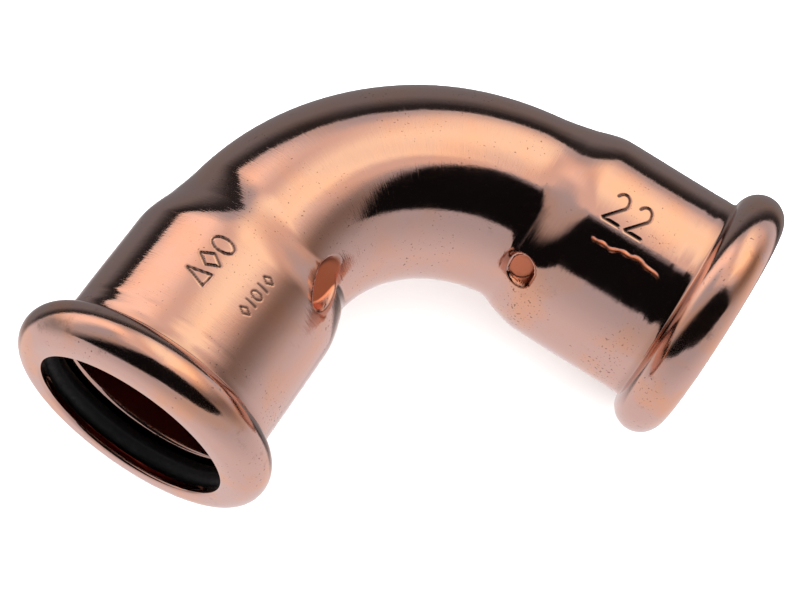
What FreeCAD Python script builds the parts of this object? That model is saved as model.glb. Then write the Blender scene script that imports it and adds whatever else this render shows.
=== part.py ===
import FreeCAD, Part
import math
import os

import Sketcher
from FreeCAD import Placement, Rotation, Vector

# Press-fit pipe elbow, 90 degrees, for 22 mm copper pipe.
#
# Frame: -Y leaves socket A, +X leaves socket B, +Z is normal to the plane of the bend, and
# the origin is the centre of socket A's mouth. "Depth" is measured along the centreline from
# a mouth: straight through the socket, then round the bend. Socket B is socket A mirrored
# in the plane that halves the bend.

SIZES = {
    "pipe_diameter": 22.0,
    "pipe_clearance": 0.15,
    "socket_wall": 1.35,
    "tube_radius": 11.0,
    "tube_wall": 1.5,
    "straight_length": 23.5,
    "bend_radius": 24.2,
    "swage_start": 18.5,
    "swage_length": 9.3,
    "bead_radius": 15.35,
    "bead_section_radius": 2.9,
    "bead_wall": 1.15,
    "bead_fillet": 0.4,
    "groove_corner": 0.65,
    "lip_rounding": 0.4,
    "seal_radius": 12.6,
    "seal_section_radius": 1.55,
    "stop_width": 4.1,
    "stop_pressed_depth": 1.1,
}
DERIVED = {
    "bore_radius": "=pipe_diameter / 2 + pipe_clearance",
    "socket_radius": "=bore_radius + socket_wall",
    "tube_bore_radius": "=tube_radius - tube_wall",
    "bead_centre_radius": "=bead_radius - bead_section_radius",
    "groove_section_radius": "=bead_section_radius - bead_wall",
    "mouth_to_corner": "=straight_length + bend_radius",
    "swage_end": "=swage_start + swage_length",
}
# Pipe stops pressed into the inside of the bend. The angle goes round the tube from the
# outside of the bend (0) over the top (90) to the inside (180).
STOPS = {
    "a": {"depth": 23.4, "angle": 141.0, "length": 8.2},
    "b": {"depth": 22.4, "angle": 151.5, "length": 4.1},
}
SWAGE_STEPS = 6
START, END, CENTRE = 1, 2, 3

doc = FreeCAD.newDocument("pipe_elbow")
dims = doc.addObject("Spreadsheet::Sheet", "dims")
for row, (alias, value) in enumerate({**SIZES, **DERIVED}.items(), start=1):
    dims.set(f"A{row}", alias)
    dims.set(f"B{row}", str(value))
    dims.setAlias(f"B{row}", alias)
doc.recompute()


def new_sketch(body, name, role):
    """A sketch on one of the body's own origin planes."""
    sketch = body.newObject("Sketcher::SketchObject", name)
    plane = next(part for part in body.Origin.OriginFeatures if part.Role == role)
    sketch.AttachmentSupport = [(plane, "")]
    sketch.MapMode = "FlatFace"
    return sketch


def drive(sketch, kind, references, value, name, rule):
    """Add a dimension to a sketch and bind it to the sheet."""
    index = sketch.addConstraint(Sketcher.Constraint(kind, *references, value))
    sketch.renameConstraint(index, name)
    sketch.setExpression(f"Constraints.{name}", rule)


def line(sketch, x1, y1, x2, y2):
    return sketch.addGeometry(Part.LineSegment(Vector(x1, y1, 0), Vector(x2, y2, 0)))


def arc(sketch, x, y, radius, start_degrees, end_degrees):
    circle = Part.Circle(Vector(x, y, 0), Vector(0, 0, 1), radius)
    return sketch.addGeometry(
        Part.ArcOfCircle(circle, math.radians(start_degrees), math.radians(end_degrees))
    )


def draw_socket_wall(sketch):
    """Section of the socket's wall: lip, rolled bead with its seal groove, and plain sleeve.

    X is the distance from the socket's axis and Y the depth.
    """
    bore = dims.bore_radius
    sleeve = dims.socket_radius
    bead_x = dims.bead_centre_radius
    bead_y = dims.bead_section_radius
    groove = dims.groove_section_radius
    fillet = dims.bead_fillet
    corner = dims.groove_corner
    lip = dims.lip_rounding
    fillet_x = sleeve + fillet
    fillet_y = bead_y + math.sqrt((bead_y + fillet) ** 2 - (fillet_x - bead_x) ** 2)
    meeting = math.degrees(math.atan2(fillet_y - bead_y, fillet_x - bead_x))
    groove_back = bead_y + groove

    front = line(sketch, bore + lip, 0, bead_x, 0)
    bead = arc(sketch, bead_x, bead_y, bead_y, -90, meeting)
    root = arc(sketch, fillet_x, fillet_y, fillet, 180, 180 + meeting)
    outside = line(sketch, sleeve, fillet_y, sleeve, dims.swage_start)
    end = line(sketch, sleeve, dims.swage_start, bore, dims.swage_start)
    inside = line(sketch, bore, dims.swage_start, bore, groove_back + corner)
    shoulder = arc(sketch, bore + corner, groove_back + corner, corner, 180, 270)
    back = line(sketch, bore + corner, groove_back, bead_x, groove_back)
    seat = arc(sketch, bead_x, bead_y, groove, -90, 90)
    lip_back = line(sketch, bead_x, bead_y - groove, bore, bead_y - groove)
    land = line(sketch, bore, bead_y - groove, bore, lip)
    tip = arc(sketch, bore + lip, lip, lip, 180, 270)

    smooth_joins = (
        (front, END, bead, START),
        (bead, END, root, END),
        (root, START, outside, START),
        (inside, END, shoulder, START),
        (shoulder, END, back, START),
        (back, END, seat, END),
        (seat, START, lip_back, START),
        (land, END, tip, START),
        (tip, END, front, START),
    )
    sharp_joins = (
        (outside, END, end, START),
        (end, END, inside, START),
        (lip_back, END, land, START),
    )
    for join in smooth_joins:
        sketch.addConstraint(Sketcher.Constraint("Tangent", *join))
    for join in sharp_joins:
        sketch.addConstraint(Sketcher.Constraint("Coincident", *join))
    sketch.addConstraint(Sketcher.Constraint("Coincident", bead, CENTRE, seat, CENTRE))
    for level in (front, end, back, lip_back):
        sketch.addConstraint(Sketcher.Constraint("Horizontal", level))
    for upright in (outside, inside, land):
        sketch.addConstraint(Sketcher.Constraint("Vertical", upright))
    sketch.addConstraint(Sketcher.Constraint("PointOnObject", front, START, -1))

    drive(sketch, "Radius", (bead,), bead_y, "bead_section", "dims.bead_section_radius")
    drive(sketch, "Radius", (seat,), groove, "groove_section", "dims.groove_section_radius")
    drive(sketch, "Radius", (root,), fillet, "bead_fillet", "dims.bead_fillet")
    drive(sketch, "Radius", (shoulder,), corner, "groove_corner", "dims.groove_corner")
    drive(sketch, "Radius", (tip,), lip, "lip_rounding", "dims.lip_rounding")
    from_axis = (
        (bead, CENTRE, "bead_centre", "bead_centre_radius"),
        (outside, START, "sleeve_outside", "socket_radius"),
        (inside, START, "sleeve_bore", "bore_radius"),
        (land, START, "lip_bore", "bore_radius"),
    )
    for element, point, name, alias in from_axis:
        distance = getattr(dims, alias)
        drive(sketch, "DistanceX", (-1, 1, element, point), distance, name, "dims." + alias)
    drive(sketch, "DistanceY", (-1, 1, end, START), dims.swage_start, "sleeve_end", "dims.swage_start")


def place_across_centreline(feature, depth_rule):
    """Turn a feature on the XZ plane square to the centreline at a depth."""
    turn = f"(max(0; {depth_rule} - dims.straight_length) / dims.bend_radius * 180 deg / pi)"
    along = f"min({depth_rule}; dims.straight_length)"
    feature.AttachmentOffset = Placement(Vector(), Rotation(Vector(0, -1, 0), 1))
    feature.setExpression("AttachmentOffset.Base.x", f"dims.bend_radius * (1 - cos({turn}))")
    feature.setExpression("AttachmentOffset.Base.z", f"-{along} - dims.bend_radius * sin({turn})")
    feature.setExpression("AttachmentOffset.Rotation.Angle", turn)


def add_ring(sketch, name, rule):
    """A circle about the centreline whose radius follows a rule."""
    ring = sketch.addGeometry(Part.Circle(Vector(), Vector(0, 0, 1), dims.tube_radius))
    sketch.addConstraint(Sketcher.Constraint("Coincident", ring, CENTRE, -1, 1))
    drive(sketch, "Radius", (ring,), dims.tube_radius, name, rule)


def swage_share(step):
    """Share of the narrowing done after some of the swage's steps: flat at both ends."""
    run = step / SWAGE_STEPS
    return run * run * (3 - 2 * run)


def add_swage(body, kind, name, wide, narrow):
    """Loft through rings that narrow smoothly from the socket to the tube."""
    rings = []
    for step in range(SWAGE_STEPS + 1):
        sketch = new_sketch(body, f"{name}_ring_{step}", "XZ_Plane")
        place_across_centreline(sketch, f"(dims.swage_start + dims.swage_length * {step} / {SWAGE_STEPS})")
        share = swage_share(step)
        add_ring(sketch, "radius", f"dims.{wide} + (dims.{narrow} - dims.{wide}) * {share}")
        rings.append(sketch)
    swage = body.newObject(kind, name)
    swage.Profile = rings[0]
    swage.Sections = rings[1:]
    return swage


def add_half_bend(body):
    """Tube from the end of the swage to the middle of the bend."""
    sketch = new_sketch(body, "bend_section", "XZ_Plane")
    place_across_centreline(sketch, "dims.swage_end")
    add_ring(sketch, "tube_outside", "dims.tube_radius")
    add_ring(sketch, "tube_bore", "dims.tube_bore_radius")
    axis = line(sketch, dims.bend_radius, -dims.tube_radius, dims.bend_radius, dims.tube_radius)
    sketch.setConstruction(axis, True)
    sketch.addConstraint(Sketcher.Constraint("Vertical", axis))
    drive(sketch, "DistanceX", (-1, 1, axis, START), dims.bend_radius, "bend_centre", "dims.bend_radius")
    bend = body.newObject("PartDesign::Revolution", "half_bend")
    bend.Profile = sketch
    bend.ReferenceAxis = (sketch, ["Axis0"])
    bend.Reversed = True
    bend.setExpression("Angle", "45 deg - (dims.swage_end - dims.straight_length) / dims.bend_radius * 180 deg / pi")
    return bend


def stop_placement(port, lift):
    """Where a pipe stop is pressed in, lifted off the tube's skin by a distance.

    Z points away from the centreline and X along it.
    """
    stop = STOPS[port]
    turn = max(0.0, stop["depth"] - dims.straight_length) / dims.bend_radius
    narrowing = (stop["depth"] - dims.swage_start) / dims.swage_length
    share = narrowing * narrowing * (3 - 2 * narrowing)
    skin = dims.socket_radius + (dims.tube_radius - dims.socket_radius) * share
    angle = math.radians(stop["angle"])
    inwards = Vector(math.sin(turn), math.cos(turn), 0)
    outside = Vector(-math.cos(turn), math.sin(turn), 0)
    away = outside * math.cos(angle) + Vector(0, 0, math.sin(angle))
    straight = min(stop["depth"], dims.straight_length)
    centre = Vector(
        dims.bend_radius * (1 - math.cos(turn)), straight + dims.bend_radius * math.sin(turn), 0
    )
    place = centre + away * (skin + lift)
    if port == "b":
        corner = dims.mouth_to_corner
        place = Vector(corner - place.y, corner - place.x, place.z)
        inwards = Vector(-inwards.y, -inwards.x, 0)
        away = Vector(-away.y, -away.x, away.z)
    return Placement(place, Rotation(inwards, away.cross(inwards), away, "ZXY"))


def press_stop(body, port):
    """A pressed pipe stop: a hollow in the skin and the bump that it raises in the bore."""
    for kind, name, lift in (
        ("PartDesign::AdditiveEllipsoid", "bump", -dims.tube_wall / 2),
        ("PartDesign::SubtractiveEllipsoid", "hollow", 0.0),
    ):
        feature = body.newObject(kind, f"stop_{port}_{name}")
        feature.Placement = stop_placement(port, lift)
        thinner = 1.0 if name == "hollow" else 0.85
        feature.setExpression("Radius1", "dims.stop_pressed_depth")
        feature.setExpression("Radius2", f"{STOPS[port]['length'] / 2 * thinner}")
        feature.setExpression("Radius3", f"dims.stop_width / 2 * {thinner}")
        doc.recompute()


def make_elbow_body():
    """The one piece of formed copper tube."""
    body = doc.addObject("PartDesign::Body", "copper_elbow_body")
    wall = new_sketch(body, "socket_wall_section", "XY_Plane")
    draw_socket_wall(wall)
    socket = body.newObject("PartDesign::Revolution", "socket")
    socket.Profile = wall
    socket.ReferenceAxis = (wall, ["V_Axis"])
    socket.Angle = 360.0
    doc.recompute()
    outside = add_swage(body, "PartDesign::AdditiveLoft", "swage", "socket_radius", "tube_radius")
    doc.recompute()
    inside = add_swage(body, "PartDesign::SubtractiveLoft", "swage_bore", "bore_radius", "tube_bore_radius")
    doc.recompute()
    bend = add_half_bend(body)
    doc.recompute()
    middle = body.newObject("PartDesign::Plane", "middle_of_bend")
    plane = next(part for part in body.Origin.OriginFeatures if part.Role == "XZ_Plane")
    middle.AttachmentSupport = [(plane, "")]
    middle.MapMode = "FlatFace"
    place_across_centreline(middle, "(dims.straight_length + dims.bend_radius * pi / 4)")
    mirrored = body.newObject("PartDesign::Mirrored", "other_half")
    mirrored.Originals = [socket, outside, inside, bend]
    mirrored.MirrorPlane = (middle, [""])
    body.Tip = mirrored
    doc.recompute()
    for port in STOPS:
        press_stop(body, port)
    return body


def make_seal(port, axis):
    """A rubber O-ring lying in the bead of one socket."""
    seal = doc.addObject("Part::Torus", f"socket_{port}_o_ring")
    seal.setExpression("Radius1", "dims.seal_radius")
    seal.setExpression("Radius2", "dims.seal_section_radius")
    seal.Placement.Rotation = Rotation(Vector(0, 0, 1), axis)
    if port == "a":
        seal.setExpression("Placement.Base.y", "dims.bead_section_radius")
    else:
        seal.setExpression("Placement.Base.x", "dims.mouth_to_corner - dims.bead_section_radius")
        seal.setExpression("Placement.Base.y", "dims.mouth_to_corner")
    return seal


pieces = [make_elbow_body(), make_seal("a", Vector(0, -1, 0)), make_seal("b", Vector(1, 0, 0))]
doc.recompute()

for item in doc.Objects:
    if "Invalid" in item.State or "Error" in item.State:
        raise RuntimeError(f"{item.Name} failed: {item.State}")

os.makedirs("parts", exist_ok=True)
for piece in pieces:
    piece.Label = piece.Name
    if piece.Shape.isNull() or not piece.Shape.isValid() or len(piece.Shape.Solids) != 1:
        raise RuntimeError(f"{piece.Label} is not one sound solid")
    print(piece.Label, round(piece.Shape.Volume, 1), piece.Shape.BoundBox)
    piece.Shape.exportStep(os.path.join("parts", piece.Label + ".step"))
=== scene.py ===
import math

import bpy
import numpy as np
from mathutils import Matrix, Vector


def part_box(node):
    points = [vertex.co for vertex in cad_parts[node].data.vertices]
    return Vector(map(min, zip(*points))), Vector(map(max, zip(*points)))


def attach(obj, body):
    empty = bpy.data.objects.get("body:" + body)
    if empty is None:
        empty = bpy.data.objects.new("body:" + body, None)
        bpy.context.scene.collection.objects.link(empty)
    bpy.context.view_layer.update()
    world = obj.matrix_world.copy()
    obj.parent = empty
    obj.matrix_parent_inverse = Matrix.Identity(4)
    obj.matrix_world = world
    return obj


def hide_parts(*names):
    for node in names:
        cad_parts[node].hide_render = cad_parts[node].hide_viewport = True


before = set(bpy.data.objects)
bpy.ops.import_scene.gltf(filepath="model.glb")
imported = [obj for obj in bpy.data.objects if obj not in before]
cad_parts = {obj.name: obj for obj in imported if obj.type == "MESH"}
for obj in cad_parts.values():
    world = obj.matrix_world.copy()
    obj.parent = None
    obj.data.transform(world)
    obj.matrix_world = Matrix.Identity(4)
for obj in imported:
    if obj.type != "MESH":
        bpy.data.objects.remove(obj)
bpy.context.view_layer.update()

# Press-fit copper pipe elbow, 90 degrees, with an O-ring in the bead of each socket.
#
# Lengths are in millimetres until a mesh is made. "Depth" is measured along the centreline
# from a mouth, and "angle" goes round the tube: 0 on the outside of the bend, 90 on top,
# 180 on the inside of the bend and 270 underneath.

MM = 0.001

BORE_RADIUS = 11.15
SLEEVE_RADIUS = 12.5
TUBE_RADIUS = 11.0
TUBE_BORE_RADIUS = 9.5
STRAIGHT_LENGTH = 23.5
BEND_RADIUS = 24.2
SWAGE_START = 18.5
SWAGE_LENGTH = 9.3
BEAD_SECTION_RADIUS = 2.9
BEAD_CENTRE_RADIUS = 12.45
BEAD_FILLET = 0.4
GROOVE_SECTION_RADIUS = 1.75
GROOVE_CORNER = 0.65
LIP_ROUNDING = 0.4
LIP_LAND_END = BEAD_SECTION_RADIUS - GROOVE_SECTION_RADIUS
SEAL_RADIUS = 12.6
SEAL_SECTION_RADIUS = 1.55
SEAL_ROOM = 0.04
SEAL_FLASH = 0.03
SEAL_FLASH_SPREAD = 0.07
BEND_LENGTH = BEND_RADIUS * math.pi / 2
TOTAL_LENGTH = 2 * STRAIGHT_LENGTH + BEND_LENGTH
HALF_LENGTH = TOTAL_LENGTH / 2

# The skin's neck starts after the swage does and ends before it. Towards the inside of the
# bend it is shorter still, between two angles from the outside of the bend, in degrees.
NECK_LATER = 0.9
NECK_SHORTER = 2.0
NECK_INSIDE = dict(earlier=0.6, shorter=1.5, from_angle=80.0, rise=40.0, to_angle=160.0, fall=42.0)

# The pipe stops: pressed hollows near the inside of the bend. "square" is how square the
# outline is, "tilt" and "into" slope the floor, and "shaded" points at the wall given painted shade.
STOP_A = dict(
    depth=23.7, angle=141.5, half_length=4.1, half_width=1.6, floor=10.9, square=2.1,
    tilt=0.22, into=0.0, shaded=(0.0, -1.0),
)
STOP_B = dict(
    depth=22.3, angle=151.5, half_length=1.6, half_width=1.65, floor=11.0, square=2.0,
    tilt=0.10, into=0.10, shaded=(-0.9, -0.4),
)
STOP_WALL_TOP = 1.06
STOP_WALL_SPREAD = 0.20
STOP_DISH = 0.12
STOP_FAR = 2.5
STOP_BUMP = dict(height=0.8, reach=1.15, slope=0.8)
# Where the painted shade inside a stop's rim lies, and how it turns with "shaded".
STOP_SHADE = dict(reach=0.86, spread=0.16, least=0.35, turn=0.8)
# How far each floor's orange-red tint, a painted reflection, reaches and how it fades at the rim.
STOP_FLOOR_TINT = dict(reach=1.05, fade=0.2)

# Traces of forming: a crease along socket B, a ridge and a line behind each bead, and waves.
CREASE = dict(from_depth=17.8, to_depth=8.7, angle=115.2, wander=1.3, half_width=0.22, height=0.13)
CREASE_WAVES = (1.15, 4.3, 7.0)
TRACE_START = 6.3
TRACE_RIDGE = dict(depth=7.1, spread=0.4, height=0.03)
TRACE_LINE = dict(depth=8.4, spread=0.22, height=0.02)
FORMING_WAVES = dict(seed=7, count=9, most_lobes=4, lengths=(9.0, 30.0), height=0.008)

# Dirt at the foot of a bead and in the neck, towards the inside of the bend.
GRIME_FOOT = dict(depth=9.0, spread=2.2, amount=1.0)
GRIME_NECK = dict(depth=20.5, spread=2.6, amount=0.9)
GRIME_FROM_ANGLE = 125.0
GRIME_FADE = 40.0


def smooth(x):
    """0 below 0, 1 above 1, and smooth between."""
    x = np.clip(x, 0.0, 1.0)
    return x * x * (3.0 - 2.0 * x)


def hump(x, middle, spread):
    """1 at the middle, falling to 0 on both sides."""
    return np.exp(-(((x - middle) / spread) ** 2))


def degrees_from_outside(angle):
    """Angle from the outside of the bend, 0 to 180, the same above and below."""
    return np.degrees(np.pi - np.abs(np.pi - angle))


# ---------------------------------------------------------------- shape of the elbow


def centreline(depth):
    """Points of the centreline and unit vectors to the outside of the bend, by depth from A."""
    turn = np.clip((depth - STRAIGHT_LENGTH) / BEND_RADIUS, 0.0, math.pi / 2)
    extra = depth - STRAIGHT_LENGTH - BEND_RADIUS * turn
    sine, cosine = np.sin(turn), np.cos(turn)
    x = BEND_RADIUS * (1.0 - cosine) + extra * sine
    y = STRAIGHT_LENGTH + BEND_RADIUS * sine + extra * cosine
    zero = np.zeros_like(x)
    return np.stack([x, y, zero], -1), np.stack([-cosine, sine, zero], -1)


def place(depth, radius, angle):
    """Points at a depth, distance from the centreline and angle, in millimetres."""
    middle, outside = centreline(depth)
    across = radius * np.cos(angle)
    points = middle + outside * across[..., None]
    points[..., 2] += radius * np.sin(angle)
    return points


def narrowed(depth, wide, narrow):
    """Radius of a wall that goes from the socket's to the tube's along the swage."""
    return wide + (narrow - wide) * smooth((depth - SWAGE_START) / SWAGE_LENGTH)


def neck_radius(from_mouth, angle):
    """Radius of the skin along the swage, which bending has made steeper towards the inside."""
    turned = degrees_from_outside(angle)
    risen = smooth((turned - NECK_INSIDE["from_angle"]) / NECK_INSIDE["rise"])
    inside = risen * smooth((NECK_INSIDE["to_angle"] - turned) / NECK_INSIDE["fall"])
    start = SWAGE_START + NECK_LATER - NECK_INSIDE["earlier"] * inside
    length = SWAGE_LENGTH - NECK_SHORTER - NECK_INSIDE["shorter"] * inside
    return SLEEVE_RADIUS + (TUBE_RADIUS - SLEEVE_RADIUS) * smooth((from_mouth - start) / length)


def arc_points(centre_depth, centre_radius, radius, first, last, count):
    """Points of an arc in the section, as (depth, radius); angles in degrees from outwards."""
    turn = np.radians(np.linspace(first, last, count))
    depth = centre_depth + radius * np.sin(turn)
    return np.stack([depth, centre_radius + radius * np.cos(turn)], -1)


def rounded_corner(depth, radius, size, first, last, count):
    """Points round an inner corner, as (depth, radius); angles in degrees."""
    turn = np.radians(np.linspace(first, last, count))
    return np.stack([depth - size * np.sin(turn), radius - size * np.cos(turn)], -1)


def graded(*spans):
    """Positions along a line made of (start, end, step) spans."""
    runs = []
    for start, end, step in spans:
        count = max(2, int(round(abs(end - start) / step)) + 1)
        runs.append(np.linspace(start, end, count)[:-1])
    return np.concatenate(runs)


def bead_outside():
    """Section of the lip's face, the rolled bead and the fillet to the sleeve."""
    fillet_radius = SLEEVE_RADIUS + BEAD_FILLET
    rise = fillet_radius - BEAD_CENTRE_RADIUS
    reach = math.sqrt((BEAD_SECTION_RADIUS + BEAD_FILLET) ** 2 - rise ** 2)
    meeting = math.degrees(math.atan2(reach, rise))
    fillet_depth = BEAD_SECTION_RADIUS + reach
    lip_radius = BORE_RADIUS + LIP_ROUNDING
    face = np.array([[0.0, lip_radius], [0.0, (lip_radius + BEAD_CENTRE_RADIUS) / 2]])
    bead = arc_points(BEAD_SECTION_RADIUS, BEAD_CENTRE_RADIUS, BEAD_SECTION_RADIUS, -90, meeting, 27)
    root = rounded_corner(fillet_depth, fillet_radius, BEAD_FILLET, meeting, 0, 7)
    return np.concatenate([face, bead, root[1:-1]]), fillet_depth


def groove_inside():
    """Section from the sleeve's bore over the seal groove to the lip, going outwards."""
    back = BEAD_SECTION_RADIUS + GROOVE_SECTION_RADIUS + GROOVE_CORNER
    shoulder = rounded_corner(back, BORE_RADIUS + GROOVE_CORNER, GROOVE_CORNER, 0, 90, 6)
    seat = arc_points(BEAD_SECTION_RADIUS, BEAD_CENTRE_RADIUS, GROOVE_SECTION_RADIUS, 90, -90, 14)
    wall = np.array([[LIP_LAND_END, BORE_RADIUS + 0.6], [LIP_LAND_END, BORE_RADIUS + 0.1]])
    land = np.array([[LIP_LAND_END - 0.1, BORE_RADIUS], [LIP_ROUNDING + 0.1, BORE_RADIUS]])
    tip = rounded_corner(LIP_ROUNDING, BORE_RADIUS + LIP_ROUNDING, LIP_ROUNDING, 0, 90, 6)
    return np.concatenate([shoulder, seat, wall, land, tip[:-1]])


def section_stations():
    """The wall's whole section as rings: depth from A, radius, and whether it is outside skin.

    The rings run from lip A over the outside to lip B, and back through the bore. They are
    close together over the stamped marks, the necks and the stops.
    """
    bead, sleeve_start = bead_outside()
    groove = groove_inside()
    skin_a = graded(
        (sleeve_start, 9.4, 0.25),
        (9.4, 12.4, 0.5),
        (12.4, 18.9, 0.125),
        (18.9, 28.4, 0.22),
        (28.4, HALF_LENGTH, 1.0),
    )
    skin_b = graded(
        (HALF_LENGTH, 25.2, 1.0),
        (25.2, 18.0, 0.22),
        (18.0, 12.6, 0.12),
        (12.6, 9.4, 0.45),
        (9.4, sleeve_start, 0.25),
    )
    bore_start = BEAD_SECTION_RADIUS + GROOVE_SECTION_RADIUS + GROOVE_CORNER
    bore_spans = ((bore_start, SWAGE_START, 1.1), (SWAGE_START, 28.0, 0.8), (28.0, HALF_LENGTH, 1.2))
    bore_b = graded(*bore_spans)[1:]
    bore_a = graded(*((end, start, step) for start, end, step in reversed(bore_spans)))
    runs = [
        (bead[:, 0], bead[:, 1], 1.0),
        (skin_a, narrowed(skin_a, SLEEVE_RADIUS, TUBE_RADIUS), 1.0),
        (TOTAL_LENGTH - skin_b, narrowed(skin_b, SLEEVE_RADIUS, TUBE_RADIUS), 1.0),
        (TOTAL_LENGTH - sleeve_start, SLEEVE_RADIUS, 1.0),
        (TOTAL_LENGTH - bead[::-1, 0], bead[::-1, 1], 1.0),
        (TOTAL_LENGTH - groove[::-1, 0], groove[::-1, 1], 0.0),
        (TOTAL_LENGTH - bore_b, narrowed(bore_b, BORE_RADIUS, TUBE_BORE_RADIUS), 0.0),
        (bore_a, narrowed(bore_a, BORE_RADIUS, TUBE_BORE_RADIUS), 0.0),
        (groove[:, 0], groove[:, 1], 0.0),
    ]
    depth = np.concatenate([np.atleast_1d(run[0]) for run in runs])
    radius = np.concatenate([np.atleast_1d(run[1]) for run in runs])
    outside = np.concatenate([np.full(np.size(run[0]), run[2]) for run in runs])
    return depth, radius, outside


def column_angles():
    """Angles of the grid's columns, closer together where marks and stops are."""
    columns = graded(
        (0, 66, 3.4), (66, 72, 1.2), (72, 119, 0.54), (119, 128, 1.3), (128, 162, 0.6), (162, 360, 4.0)
    )
    return np.radians(columns)


# ---------------------------------------------------------------- stamped marks


def ellipse_line(x, y, half_width, half_height, first, last, count):
    """Polyline along part of an ellipse; angles in degrees."""
    turn = np.radians(np.linspace(first, last, count))
    return [(x + half_width * math.cos(t), y + half_height * math.sin(t)) for t in turn]


def digit_two():
    """The digit 2 in a unit box."""
    return ellipse_line(0.5, 0.70, 0.42, 0.30, 155, -22, 14) + [(0.0, 0.0), (1.0, 0.0)]


def triangle():
    return [(0.0, 0.0), (1.0, 0.0), (0.5, 1.0), (0.0, 0.0)]


def diamond():
    return [(0.5, 0.0), (1.0, 0.5), (0.5, 1.0), (0.0, 0.5), (0.5, 0.0)]


def ring():
    return ellipse_line(0.5, 0.5, 0.5, 0.5, 0, 360, 18)


def bar():
    return [(0.5, 0.0), (0.5, 1.0)]


# Stamped marks: port, depth of the left end, angle of the foot, reading direction (+1 goes
# into the socket), size, pitch, half stroke, depth of the stroke, lean and symbols.
MARKS = (
    dict(
        port="b", depth=17.66, angle=104.5, reads=-1, width=1.87, height=3.75, pitch=2.77,
        half_stroke=0.115, pressed=0.13, turn=0.0, symbols=(digit_two, digit_two),
    ),
    dict(
        port="a", depth=12.75, angle=88.5, reads=1, width=1.55, height=2.7, pitch=2.1,
        half_stroke=0.10, pressed=0.11, turn=6.0, symbols=(triangle, diamond, ring),
    ),
    dict(
        port="a", depth=12.9, angle=114.5, reads=1, width=0.75, height=1.35, pitch=1.06,
        half_stroke=0.075, pressed=0.05, turn=2.0, symbols=(diamond, bar, ring, bar, diamond),
    ),
)


def distance_to_line(u, v, line):
    """Distance of points to a polyline in the unrolled skin."""
    nearest = np.full(u.shape, np.inf)
    for (x1, y1), (x2, y2) in zip(line[:-1], line[1:]):
        dx, dy = x2 - x1, y2 - y1
        share = np.clip(((u - x1) * dx + (v - y1) * dy) / (dx * dx + dy * dy), 0.0, 1.0)
        nearest = np.minimum(nearest, np.hypot(u - x1 - share * dx, v - y1 - share * dy))
    return nearest


def stamp(mark, depth_a, angle):
    """How far a stamped mark lowers the skin, and its 0 to 1 mask."""
    depth = depth_a if mark["port"] == "a" else TOTAL_LENGTH - depth_a
    across = (depth - mark["depth"]) * mark["reads"]
    up = (math.radians(mark["angle"]) - angle) * SLEEVE_RADIUS
    lean = math.radians(mark["turn"])
    u = across * math.cos(lean) - up * math.sin(lean)
    v = across * math.sin(lean) + up * math.cos(lean)
    lowered = np.zeros_like(u)
    mask = np.zeros_like(u)
    for index, symbol in enumerate(mark["symbols"]):
        left = index * mark["pitch"]
        line = [(left + x * mark["width"], y * mark["height"]) for x, y in symbol()]
        away = distance_to_line(u, v, line)
        cut = smooth((1.5 * mark["half_stroke"] - away) / mark["half_stroke"])
        lowered = np.maximum(lowered, mark["pressed"] * cut)
        mask = np.maximum(mask, cut)
    return lowered, mask


# ---------------------------------------------------------------- pressed stops


def stop_reach(stop, along, around):
    """0 at the middle of a stop and 1 at its rim."""
    power = stop["square"]
    return (np.abs(along) ** power + np.abs(around) ** power) ** (1.0 / power)


def press_stops(depth_a, radius, angle, outside):
    """Radius after the stops are pressed in, and masks of the painted shade on one wall and of their
    floors.
    """
    walls = np.zeros_like(radius)
    floors = np.zeros_like(radius)
    for stop, depth in ((STOP_A, depth_a), (STOP_B, TOTAL_LENGTH - depth_a)):
        beyond = depth - stop["depth"]
        aside = (angle - math.radians(stop["angle"])) * stop["floor"]
        along = beyond / stop["half_length"]
        around = aside / stop["half_width"]
        reach = stop_reach(stop, along, around)
        pushed = smooth((STOP_WALL_TOP - reach) / STOP_WALL_SPREAD)
        tilted = stop["floor"] + stop["tilt"] * aside + stop["into"] * beyond
        dished = tilted - STOP_DISH * (1.0 - np.clip(reach, 0, 1) ** 2)
        pressed = radius + (np.minimum(dished, radius) - radius) * pushed
        raised = STOP_BUMP["height"] * smooth((STOP_BUMP["reach"] - reach) / STOP_BUMP["slope"])
        skin = (reach < STOP_FAR) & (outside > 0.5)
        bore = (reach < STOP_FAR) & (outside < 0.5)
        radius = np.where(skin, pressed, radius)
        radius = np.where(bore, radius - raised, radius)
        # Painted shade: a dark band just inside the rim, on the side that "shaded" points to.
        facing = along * stop["shaded"][0] + around * stop["shaded"][1]
        shade = smooth(STOP_SHADE["least"] + STOP_SHADE["turn"] * facing)
        rim = shade * hump(reach, STOP_SHADE["reach"], STOP_SHADE["spread"])
        # Mask of each floor's orange-red tint, a painted reflection.
        overlay = smooth((STOP_FLOOR_TINT["reach"] - reach) / STOP_FLOOR_TINT["fade"])
        walls = np.where(skin, np.maximum(walls, rim), walls)
        floors = np.where(skin, np.maximum(floors, overlay), floors)
    return radius, walls, floors


# ---------------------------------------------------------------- traces of forming and use


def crease_line(depth_a, angle):
    """A fine wandering crease that rolling left along socket B, as a height."""
    depth = TOTAL_LENGTH - depth_a
    run = (CREASE["from_depth"] - depth) / (CREASE["from_depth"] - CREASE["to_depth"])
    long_wave, short_wave, beads = (2.0 * math.pi * turns * run for turns in CREASE_WAVES)
    wander = np.sin(long_wave + 0.3) + 0.35 * np.sin(short_wave)
    middle = np.radians(CREASE["angle"] + CREASE["wander"] * wander)
    away = (angle - middle) * SLEEVE_RADIUS
    ends = smooth(run / 0.08) * smooth((1.0 - run) / 0.10)
    uneven = 0.75 + 0.25 * np.sin(beads)
    return CREASE["height"] * ends * uneven * hump(away, 0.0, CREASE["half_width"])


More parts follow.
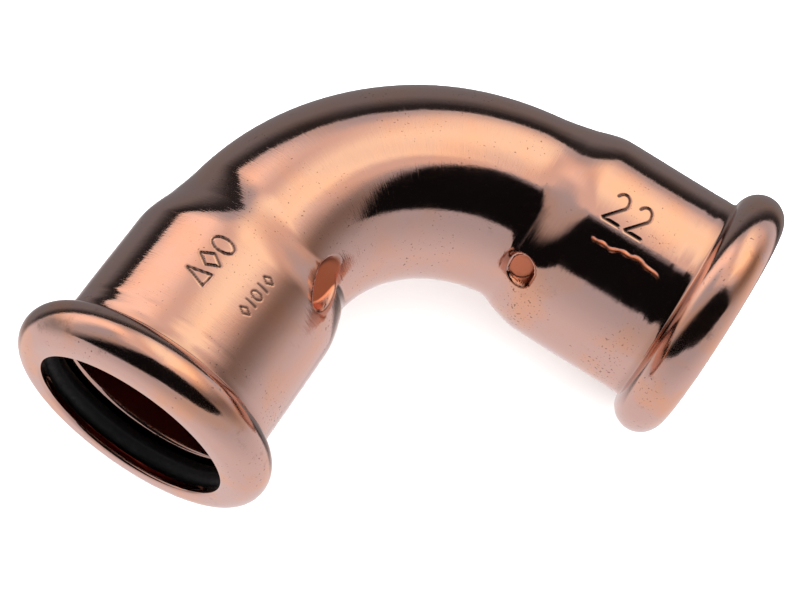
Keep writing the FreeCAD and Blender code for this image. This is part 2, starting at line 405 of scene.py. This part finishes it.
def bead_trace(from_mouth):
    """The low ridge and fine line that the rolling tool leaves behind a bead."""
    ridge = TRACE_RIDGE["height"] * hump(from_mouth, TRACE_RIDGE["depth"], TRACE_RIDGE["spread"])
    line = TRACE_LINE["height"] * hump(from_mouth, TRACE_LINE["depth"], TRACE_LINE["spread"])
    return ridge - line


def hand_of_forming(depth, angle):
    """Slight waviness that forming leaves in the skin."""
    rng = np.random.default_rng(FORMING_WAVES["seed"])
    wave = np.zeros_like(depth)
    for _ in range(FORMING_WAVES["count"]):
        lobes = rng.integers(1, FORMING_WAVES["most_lobes"] + 1)
        length = rng.uniform(*FORMING_WAVES["lengths"])
        phase, shift = rng.uniform(0.0, 2.0 * math.pi, 2)
        wave += np.sin(lobes * angle + phase) * np.sin(2.0 * math.pi * depth / length + shift)
    return FORMING_WAVES["height"] * wave


def grime(from_mouth, angle):
    """Where dirt gathers: at the foot of a bead and in the neck, most towards the inside."""
    inside = smooth((degrees_from_outside(angle) - GRIME_FROM_ANGLE) / GRIME_FADE)
    foot = GRIME_FOOT["amount"] * hump(from_mouth, GRIME_FOOT["depth"], GRIME_FOOT["spread"])
    neck = GRIME_NECK["amount"] * hump(from_mouth, GRIME_NECK["depth"], GRIME_NECK["spread"])
    return inside * np.maximum(foot, neck)


# ---------------------------------------------------------------- meshes


def make_grid_mesh(name, points, attributes):
    """A mesh from a grid of points that closes both ways, with per-vertex values."""
    rows, columns = points.shape[:2]
    index = np.arange(rows * columns).reshape(rows, columns)
    right = np.roll(index, -1, axis=1)
    quads = np.stack([index, right, np.roll(right, -1, axis=0), np.roll(index, -1, axis=0)], -1)
    mesh = bpy.data.meshes.new(name)
    mesh.from_pydata((points.reshape(-1, 3) * MM).tolist(), [], quads.reshape(-1, 4).tolist())
    for label, values in attributes.items():
        layer = mesh.attributes.new(label, "FLOAT", "POINT")
        layer.data.foreach_set("value", values.astype(np.float32).ravel())
    mesh.polygons.foreach_set("use_smooth", [True] * len(mesh.polygons))
    mesh.update()
    piece = bpy.data.objects.new(name, mesh)
    bpy.context.scene.collection.objects.link(piece)
    return piece


def elbow_grid():
    """Depth, radius, angle and outside skin for every point of the elbow, before any pressing."""
    station_depth, station_radius, station_outside = section_stations()
    angles = column_angles()
    depth, angle = np.meshgrid(station_depth, angles, indexing="ij")
    radius = np.repeat(station_radius[:, None], len(angles), axis=1)
    outside = np.repeat(station_outside[:, None], len(angles), axis=1)
    return depth, radius, angle, outside


def make_elbow():
    """The formed copper body, its stamped marks and its pressed stops."""
    depth, radius, angle, outside = elbow_grid()
    from_mouth = np.minimum(depth, TOTAL_LENGTH - depth)
    skin = outside > 0.5
    radius = np.where(skin & (from_mouth > SWAGE_START), neck_radius(from_mouth, angle), radius)
    radius, walls, floors = press_stops(depth, radius, angle, outside)
    marks = np.zeros_like(radius)
    for mark in MARKS:
        lowered, mask = stamp(mark, depth, angle)
        radius = np.where(skin, radius - lowered, radius)
        marks = np.where(skin, np.maximum(marks, mask), marks)
    clear_of_bead = smooth((from_mouth - 7.0) / 4.0)
    radius = np.where(skin, radius + hand_of_forming(depth, angle) * clear_of_bead, radius)
    radius = np.where(skin & (from_mouth > TRACE_START), radius + bead_trace(from_mouth), radius)
    raised = crease_line(depth, angle)
    radius = np.where(skin, radius + raised, radius)
    creased = np.clip(2.0 * raised / CREASE["height"], 0.0, 1.0)
    # Masks for the material: "wall" places painted shade, "pocket" a painted orange reflection, "bore"
    # painted shade deeper in, and "crease" and "mark" painted shade with some tarnish.
    attributes = {
        "mark": marks,
        "wall": walls,
        "pocket": np.where(skin, np.maximum(floors, creased), floors),
        "crease": outside * hump(from_mouth, 6.1, 0.45),
        "bore": (1.0 - outside) * smooth((from_mouth - 5.2) / 4.5),
        "rolled": outside * smooth((7.5 - from_mouth) / 2.0),
        "grime": outside * grime(from_mouth, angle),
    }
    elbow = make_grid_mesh("elbow_skin", place(depth, radius, angle), attributes)
    unrolled = np.stack([depth, SLEEVE_RADIUS * np.cos(angle), SLEEVE_RADIUS * np.sin(angle)], -1)
    layer = elbow.data.attributes.new("along_tube", "FLOAT_VECTOR", "POINT")
    layer.data.foreach_set("vector", unrolled.astype(np.float32).ravel())
    return elbow


def make_seal(port):
    """An O-ring with its moulding line, slightly uneven as it lies in the groove."""
    around = np.linspace(0, 2 * math.pi, 220, endpoint=False)
    section = np.linspace(0, 2 * math.pi, 56, endpoint=False)
    turn, roll = np.meshgrid(around, section, indexing="ij")
    from_inner = np.abs(np.angle(np.exp(1j * roll)))
    from_outer = np.abs(np.angle(np.exp(1j * (roll - math.pi))))
    parting = hump(np.minimum(from_inner, from_outer), 0.0, SEAL_FLASH_SPREAD)
    uneven = 0.02 * np.sin(3 * turn + 0.7) + 0.012 * np.sin(7 * turn + 2.0)
    section_radius = SEAL_SECTION_RADIUS - SEAL_ROOM + SEAL_FLASH * parting
    depth = BEAD_SECTION_RADIUS + uneven + section_radius * np.sin(roll)
    radius = SEAL_RADIUS - section_radius * np.cos(roll)
    if port == "b":
        depth = TOTAL_LENGTH - depth
    return make_grid_mesh(f"seal_{port}", place(depth, radius, turn), {"flash": parting})


def face_outwards(piece):
    """Turns the mesh's faces outwards if its volume comes out negative."""
    mesh = piece.data
    points = np.empty(len(mesh.vertices) * 3, dtype=np.float32)
    mesh.vertices.foreach_get("co", points)
    points = points.reshape(-1, 3).astype(float)
    quads = np.empty(len(mesh.loops), dtype=np.int32)
    mesh.loops.foreach_get("vertex_index", quads)
    a, b, c, d = points[quads.reshape(-1, 4)].transpose(1, 0, 2)
    volume = (a * np.cross(b, c)).sum() + (a * np.cross(c, d)).sum()
    if volume < 0:
        mesh.flip_normals()
        mesh.update()


# ---------------------------------------------------------------- materials


class Nodes:
    """Short calls that add nodes to a tree."""

    def __init__(self, tree):
        self.tree = tree
        tree.nodes.clear()

    def add(self, kind, **settings):
        node = self.tree.nodes.new(kind)
        for name, value in settings.items():
            setattr(node, name, value)
        return node

    def join(self, value, socket):
        if isinstance(value, bpy.types.NodeSocket):
            self.tree.links.new(value, socket)
        else:
            socket.default_value = value

    def math(self, operation, *values):
        node = self.add("ShaderNodeMath", operation=operation)
        for value, socket in zip(values, node.inputs):
            self.join(value, socket)
        return node.outputs[0]

    def blend(self, amount, first, second):
        node = self.add("ShaderNodeMix", data_type="RGBA")
        self.join(amount, node.inputs["Factor"])
        self.join(first, node.inputs[6])
        self.join(second, node.inputs[7])
        return node.outputs[2]

    def ramp(self, value, from_low, from_high, to_low=0.0, to_high=1.0):
        node = self.add("ShaderNodeMapRange", interpolation_type="SMOOTHSTEP")
        for number, item in enumerate((value, from_low, from_high, to_low, to_high)):
            self.join(item, node.inputs[number])
        return node.outputs[0]

    def stretched(self, vector, stretch):
        node = self.add("ShaderNodeVectorMath", operation="MULTIPLY")
        self.join(vector, node.inputs[0])
        node.inputs[1].default_value = stretch
        return node.outputs[0]

    def millimetres(self):
        """Place on the piece, in millimetres."""
        return self.stretched(self.add("ShaderNodeTexCoord").outputs["Object"], [1.0 / MM] * 3)

    def noise(self, where, size, detail=2.0, roughness=0.5):
        """Noise from 0 to 1 with features of a size in millimetres."""
        node = self.add("ShaderNodeTexNoise")
        self.join(where, node.inputs["Vector"])
        node.inputs["Scale"].default_value = 1.0 / size
        node.inputs["Detail"].default_value = detail
        node.inputs["Roughness"].default_value = roughness
        return node.outputs[0]

    def attribute(self, name):
        return self.add("ShaderNodeAttribute", attribute_name=name).outputs["Fac"]

    def along_tube(self, stretch):
        """Depth and place round the tube, in millimetres, for texture that follows the tube."""
        unrolled = self.add("ShaderNodeAttribute", attribute_name="along_tube").outputs["Vector"]
        return self.stretched(unrolled, stretch)

    def bump(self, height, distance, strength, under=None):
        """Small relief of a height in millimetres, over another bump if there is one."""
        node = self.add("ShaderNodeBump")
        node.inputs["Distance"].default_value = distance * MM
        node.inputs["Strength"].default_value = strength
        self.join(height, node.inputs["Height"])
        if under is not None:
            self.join(under, node.inputs["Normal"])
        return node.outputs[0]


def new_material(name):
    """A material with a Principled shader, and the calls that add to it."""
    material = bpy.data.materials.new(name)
    material.use_nodes = True
    nodes = Nodes(material.node_tree)
    shader = nodes.add("ShaderNodeBsdfPrincipled")
    output = nodes.add("ShaderNodeOutputMaterial")
    nodes.join(shader.outputs[0], output.inputs["Surface"])
    return material, nodes, shader


COPPER_BRIGHT = (0.68, 0.46, 0.395, 1.0)
COPPER_WARM = (0.80, 0.43, 0.27, 1.0)
# Dark red painted shade deep in the bore, from about 5 mm inside each mouth.
COPPER_BORE = (0.46, 0.13, 0.10, 1.0)
# Orange-red painted reflection on the stop floors and along the crease on socket B.
COPPER_POCKET = (0.76, 0.24, 0.12, 1.0)
# Dark tarnish for specks and smudges, and painted shade with some tarnish in the crease behind each
# bead.
COPPER_TARNISH_AND_SHADE = (0.10, 0.055, 0.04, 1.0)
# Near black: painted shade on one wall of each stop, and painted shade with some tarnish in the
# stamped strokes.
COPPER_BLACK_SHADE_AND_TARNISH = (0.022, 0.014, 0.012, 1.0)
# Colours laid over the copper by mask: a painted orange reflection, painted shade on the stop walls
# and in the bore, and painted shade with some tarnish in the stamps.
COPPER_PAINTED_SHADE_AND_TINTS = (
    ("pocket", 0.92, COPPER_POCKET),
    ("wall", 0.8, COPPER_BLACK_SHADE_AND_TARNISH),
    ("bore", 0.9, COPPER_BORE),
    ("mark", 0.93, COPPER_BLACK_SHADE_AND_TARNISH),
)
RUBBER_BLACK = (0.0025, 0.0025, 0.003, 1.0)
RUBBER_DUSTY = (0.012, 0.011, 0.010, 1.0)
FLOOR_PALE = (0.86, 0.86, 0.86, 1.0)
FLOOR_PALER = (0.88, 0.88, 0.88, 1.0)


def copper_colour(nodes, where):
    """Pink and warm copper with smudges and specks; painted shade with some tarnish where it is
    creased or stamped, and other painted shade and reflection laid over.
    """
    rolled = nodes.attribute("rolled")
    gathered = nodes.attribute("grime")
    patches = nodes.ramp(nodes.noise(where, 5.0, 4.0), 0.42, 0.70)
    handled = nodes.math("MULTIPLY_ADD", nodes.math("MAXIMUM", rolled, gathered), 0.5, 0.35)
    colour = nodes.blend(nodes.math("MULTIPLY", patches, handled), COPPER_BRIGHT, COPPER_WARM)
    smudge = nodes.ramp(nodes.noise(where, 3.2, 5.0, 0.65), 0.60, 0.78)
    smudged = nodes.math("MULTIPLY", smudge, nodes.math("MULTIPLY_ADD", rolled, 0.35, 0.12))
    dusty = nodes.math("MAXIMUM", nodes.ramp(nodes.noise(where, 7.0, 2.0), 0.46, 0.60), gathered)
    fine = nodes.math("MULTIPLY_ADD", gathered, 0.06, nodes.noise(where, 0.26, 1.0, 0.3))
    coarse = nodes.math("MULTIPLY_ADD", gathered, 0.03, nodes.noise(where, 0.7, 2.0, 0.5))
    specks = nodes.math("MAXIMUM", nodes.ramp(fine, 0.70, 0.77), nodes.ramp(coarse, 0.735, 0.765))
    dirt = nodes.math("MULTIPLY", nodes.math("MULTIPLY", specks, dusty), 0.7)
    # Painted shade with some tarnish along the crease behind each bead.
    creased = nodes.math("MULTIPLY", nodes.attribute("crease"), 0.2)
    dark = nodes.math("MAXIMUM", nodes.math("MAXIMUM", dirt, smudged), creased)
    colour = nodes.blend(dark, colour, COPPER_TARNISH_AND_SHADE)
    # Painted reflection on the stop floors and crease, painted shade on the stop walls and in the
    # bore, and painted shade with some tarnish in the stamps.
    for name, amount, overlay in COPPER_PAINTED_SHADE_AND_TINTS:
        colour = nodes.blend(nodes.math("MULTIPLY", nodes.attribute(name), amount), colour, overlay)
    return colour


def copper_roughness(nodes, where, hairline):
    """Nearly a mirror, duller on hairlines, beads, stops, stamps and in the bore."""
    rough = nodes.ramp(nodes.noise(where, 3.0, 3.0), 0.35, 0.7, 0.055, 0.10)
    dull = nodes.math("MAXIMUM", nodes.attribute("mark"), nodes.attribute("bore"))
    pocket = nodes.attribute("pocket")
    rolled = nodes.attribute("rolled")
    for mask, amount in ((hairline, 0.04), (dull, 0.25), (pocket, 0.26), (rolled, 0.05)):
        rough = nodes.math("MULTIPLY_ADD", mask, amount, rough)
    return rough


def copper_relief(nodes, where, hairline):
    """Soft dents, fine grain, and brushing and hairlines round the tube."""
    grain = nodes.noise(where, 0.16, 2.0, 0.6)
    brushed = nodes.noise(nodes.along_tube((1.0, 0.12, 0.12)), 0.20, 2.0, 0.6)
    normal = nodes.bump(nodes.noise(where, 2.2, 2.0), 0.25, 0.05)
    normal = nodes.bump(grain, 0.04, 0.07, normal)
    normal = nodes.bump(brushed, 0.03, 0.16, normal)
    return nodes.bump(hairline, 0.02, 0.10, normal)


def copper_material():
    """Polished copper: grain, hairlines, specks, painted shade with some tarnish in the creases, and a
    dull bore darkened with painted shade.
    """
    material, nodes, shader = new_material("polished_copper")
    where = nodes.millimetres()
    hairline = nodes.ramp(nodes.noise(nodes.along_tube((1.0, 0.06, 0.06)), 0.16, 2.0), 0.60, 0.72)
    nodes.join(copper_colour(nodes, where), shader.inputs["Base Color"])
    shader.inputs["Metallic"].default_value = 1.0
    nodes.join(copper_roughness(nodes, where, hairline), shader.inputs["Roughness"])
    nodes.join(copper_relief(nodes, where, hairline), shader.inputs["Normal"])
    return material


def rubber_material():
    """Black seal rubber with a fine matt grain, a little dust and a moulding line."""
    material, nodes, shader = new_material("seal_rubber")
    where = nodes.millimetres()
    dust = nodes.ramp(nodes.noise(where, 1.1, 4.0, 0.65), 0.52, 0.74)
    flash = nodes.math("MULTIPLY", nodes.attribute("flash"), 0.5)
    worn = nodes.math("MAXIMUM", nodes.math("MULTIPLY", dust, 0.35), flash)
    rough = nodes.ramp(nodes.noise(where, 0.8, 3.0), 0.3, 0.7, 0.50, 0.68)
    nodes.join(nodes.blend(worn, RUBBER_BLACK, RUBBER_DUSTY), shader.inputs["Base Color"])
    nodes.join(rough, shader.inputs["Roughness"])
    shader.inputs["Specular IOR Level"].default_value = 0.28
    normal = nodes.bump(nodes.noise(where, 0.12, 2.0), 0.02, 0.35)
    nodes.join(normal, shader.inputs["Normal"])
    return material


def floor_material():
    """Matt pale tabletop with a faint mottle, open when looked at from below."""
    material, nodes, shader = new_material("pale_floor")
    where = nodes.millimetres()
    mottle = nodes.ramp(nodes.noise(where, 40.0, 3.0), 0.3, 0.7)
    nodes.join(nodes.blend(mottle, FLOOR_PALE, FLOOR_PALER), shader.inputs["Base Color"])
    shader.inputs["Roughness"].default_value = 0.9
    shader.inputs["Specular IOR Level"].default_value = 0.0
    underside = nodes.add("ShaderNodeNewGeometry").outputs["Backfacing"]
    see_through = nodes.add("ShaderNodeMixShader")
    nodes.join(underside, see_through.inputs[0])
    nodes.join(shader.outputs[0], see_through.inputs[1])
    nodes.join(nodes.add("ShaderNodeBsdfTransparent").outputs[0], see_through.inputs[2])
    nodes.join(see_through.outputs[0], nodes.tree.nodes["Material Output"].inputs["Surface"])
    return material


# ---------------------------------------------------------------- studio


# What the copper mirrors, in order, each laid over the ones before: direction of the middle
# (azimuth from +X towards +Y, elevation), half sizes, tilt and edge softness, in degrees.
OVERHEAD = dict(azimuth=92, elevation=86, half=(81, 58), tilt=20, soft=15, colour=(0.98, 0.76, 0.66))
KEY = dict(azimuth=81, elevation=56, half=(33, 20), tilt=-17, soft=27, colour=(1.50, 1.25, 0.93))
DIM_SIDE = dict(azimuth=22, elevation=33, half=(17, 34), tilt=51, soft=34, colour=(0.27, 0.205, 0.175))
BACK = dict(azimuth=164, elevation=18, half=(13, 37), tilt=42, soft=22, colour=(1.49, 1.14, 0.94))
LEFT = dict(azimuth=-152, elevation=49, half=(13, 31), tilt=14, soft=26, colour=(0.57, 0.46, 0.41))
LEFT_LOW = dict(azimuth=-166, elevation=-10, half=(20, 14), tilt=0, soft=34, colour=(0.36, 0.33, 0.32))
SOFTBOXES = (OVERHEAD, KEY, DIM_SIDE, BACK, LEFT, LEFT_LOW)

# The black ceiling slopes down beyond an azimuth, and the dark arch droops to both sides.
CEILING = dict(
    edge=29.0, slope=0.56, level_to=-85.0, soft=1.5,
    left=(-156.0, -135.0), right=(-3.0, 6.0), top=(83.0, 90.0),
)
ARCH = dict(
    azimuth=117.0, top=23.5, droop=0.0115, soft=1.0,
    sides=(62.0, 74.0), foot=(-70.0, -46.0), fade=(6.0, 30.0),
)
TABLE_HORIZON = (-40.0, 25.0)
TABLE_FAR = (0.57, 0.54, 0.57, 1.0)
TABLE_NEAR = (0.88, 0.80, 0.81, 1.0)
CEILING_BLACK = (0.006, 0.006, 0.007, 1.0)
BACK_BLACK = (0.03, 0.03, 0.032, 1.0)
BACK_GREY = (0.22, 0.215, 0.225, 1.0)
SOFT_LIGHT = (3.2, 3.2, 3.2, 1.0)


def turned_from(nodes, azimuth, middle):
    """Degrees of azimuth from a direction, from -180 to 180."""
    return nodes.math("WRAP", nodes.math("SUBTRACT", azimuth, float(middle)), 180.0, -180.0)


def product(nodes, *masks):
    """All the masks multiplied together."""
    result = masks[0]
    for mask in masks[1:]:
        result = nodes.math("MULTIPLY", result, mask)
    return result


def softbox_mask(nodes, azimuth, elevation, box):
    """1 inside a softbox and 0 outside, with soft edges."""
    offset = turned_from(nodes, azimuth, box["azimuth"])
    rise = nodes.math("SUBTRACT", elevation, float(box["elevation"]))
    cosine = math.cos(math.radians(box["tilt"]))
    sine = math.sin(math.radians(box["tilt"]))
    across = nodes.math("MULTIPLY_ADD", offset, cosine, nodes.math("MULTIPLY", rise, sine))
    up = nodes.math("MULTIPLY_ADD", rise, cosine, nodes.math("MULTIPLY", offset, -sine))
    edges = []
    for value, half in zip((across, up), box["half"]):
        away = nodes.math("ABSOLUTE", value)
        edges.append(nodes.ramp(away, half - box["soft"] / 2, half + box["soft"] / 2, 1.0, 0.0))
    return product(nodes, *edges)


def ceiling_mask(nodes, azimuth, elevation):
    """The black ceiling over the front left, with a crisp lower edge that slopes down at its left."""
    past = nodes.math("SUBTRACT", azimuth, CEILING["level_to"])
    slope = nodes.math("MINIMUM", nodes.math("MULTIPLY", past, CEILING["slope"]), 0.0)
    above = nodes.math("SUBTRACT", elevation, nodes.math("ADD", slope, CEILING["edge"]))
    return product(
        nodes,
        nodes.ramp(above, -CEILING["soft"], CEILING["soft"]),
        nodes.ramp(azimuth, *CEILING["right"], 1.0, 0.0),
        nodes.ramp(azimuth, *CEILING["left"]),
        nodes.ramp(elevation, *CEILING["top"], 1.0, 0.0),
    )


def dark_back(nodes, azimuth, elevation):
    """Mask and colour of the dark arch behind the elbow: black at its edge and grey below."""
    offset = turned_from(nodes, azimuth, ARCH["azimuth"])
    drop = nodes.math("MULTIPLY", nodes.math("MULTIPLY", offset, offset), ARCH["droop"])
    below = nodes.math("SUBTRACT", nodes.math("SUBTRACT", ARCH["top"], drop), elevation)
    mask = product(
        nodes,
        nodes.ramp(below, -ARCH["soft"], ARCH["soft"]),
        nodes.ramp(nodes.math("ABSOLUTE", offset), *ARCH["sides"], 1.0, 0.0),
        nodes.ramp(elevation, *ARCH["foot"]),
    )
    return mask, nodes.blend(nodes.ramp(below, *ARCH["fade"]), BACK_BLACK, BACK_GREY)


def mirrored_studio(nodes, azimuth, elevation):
    """Colour of the studio that the copper mirrors, by direction."""
    colour = nodes.blend(nodes.ramp(elevation, *TABLE_HORIZON), TABLE_NEAR, TABLE_FAR)
    for box in SOFTBOXES:
        mask = softbox_mask(nodes, azimuth, elevation, box)
        colour = nodes.blend(mask, colour, (*box["colour"], 1.0))
    colour = nodes.blend(ceiling_mask(nodes, azimuth, elevation), colour, CEILING_BLACK)
    arch, arch_colour = dark_back(nodes, azimuth, elevation)
    return nodes.blend(arch, colour, arch_colour)


def make_studio():
    """Even soft light on matt things, and softboxes and dark flags for the copper to mirror."""
    world = bpy.data.worlds.new("studio")
    world.use_nodes = True
    nodes = Nodes(world.node_tree)
    split = nodes.add("ShaderNodeSeparateXYZ")
    nodes.join(nodes.add("ShaderNodeTexCoord").outputs["Generated"], split.inputs[0])
    x, y, z = split.outputs
    azimuth = nodes.math("DEGREES", nodes.math("ARCTAN2", y, x))
    elevation = nodes.math("DEGREES", nodes.math("ARCSINE", z))
    mirrored = mirrored_studio(nodes, azimuth, elevation)
    glossy = nodes.add("ShaderNodeLightPath").outputs["Is Glossy Ray"]
    background = nodes.add("ShaderNodeBackground")
    nodes.join(nodes.blend(glossy, SOFT_LIGHT, mirrored), background.inputs["Color"])
    output = nodes.add("ShaderNodeOutputWorld")
    nodes.join(background.outputs[0], output.inputs["Surface"])
    world.cycles.sampling_method = "NONE"
    bpy.context.scene.world = world
    bpy.context.scene.view_settings.view_transform = "Standard"


FLOOR_HALF_SIZE = 3.0


def make_floor(height):
    """A wide pale floor that the elbow stands on."""
    near, far = -FLOOR_HALF_SIZE, FLOOR_HALF_SIZE
    corners = [(near, near, height), (far, near, height), (far, far, height), (near, far, height)]
    mesh = bpy.data.meshes.new("floor")
    mesh.from_pydata(corners, [], [(0, 1, 2, 3)])
    mesh.materials.append(floor_material())
    floor = bpy.data.objects.new("floor", mesh)
    floor.visible_glossy = False
    bpy.context.scene.collection.objects.link(floor)


CAMERA_PLACE = (32.80, -60.06, 184.26)
CAMERA_AIM = (15.90, 29.23, 0.0)
CAMERA_ROLL = 22.41
CAMERA_LENS = 83.88


def make_camera():
    """Looks down at the elbow from socket A's side, turned about the line of sight."""
    camera = bpy.data.objects.new("camera", bpy.data.cameras.new("camera"))
    camera.data.lens = CAMERA_LENS
    camera.data.sensor_width = 36.0
    camera.data.clip_start = 0.01
    place_of_camera = Vector(CAMERA_PLACE) * MM
    sight = Vector(CAMERA_AIM) * MM - place_of_camera
    upright = sight.to_track_quat("-Z", "Y").to_matrix().to_4x4()
    roll = Matrix.Rotation(math.radians(CAMERA_ROLL), 4, "Z")
    camera.matrix_world = Matrix.Translation(place_of_camera) @ upright @ roll
    bpy.context.scene.collection.objects.link(camera)
    bpy.context.scene.camera = camera


# ---------------------------------------------------------------- the whole scene


elbow = make_elbow()
face_outwards(elbow)
elbow.data.materials.append(copper_material())
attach(elbow, "root")
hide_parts("copper_elbow_body")

rubber = rubber_material()
for port in ("a", "b"):
    seal = make_seal(port)
    face_outwards(seal)
    seal.data.materials.append(rubber)
    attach(seal, "root")
    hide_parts(f"socket_{port}_o_ring")

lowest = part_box("copper_elbow_body")[0][2]
make_floor(lowest)
make_studio()
make_camera()
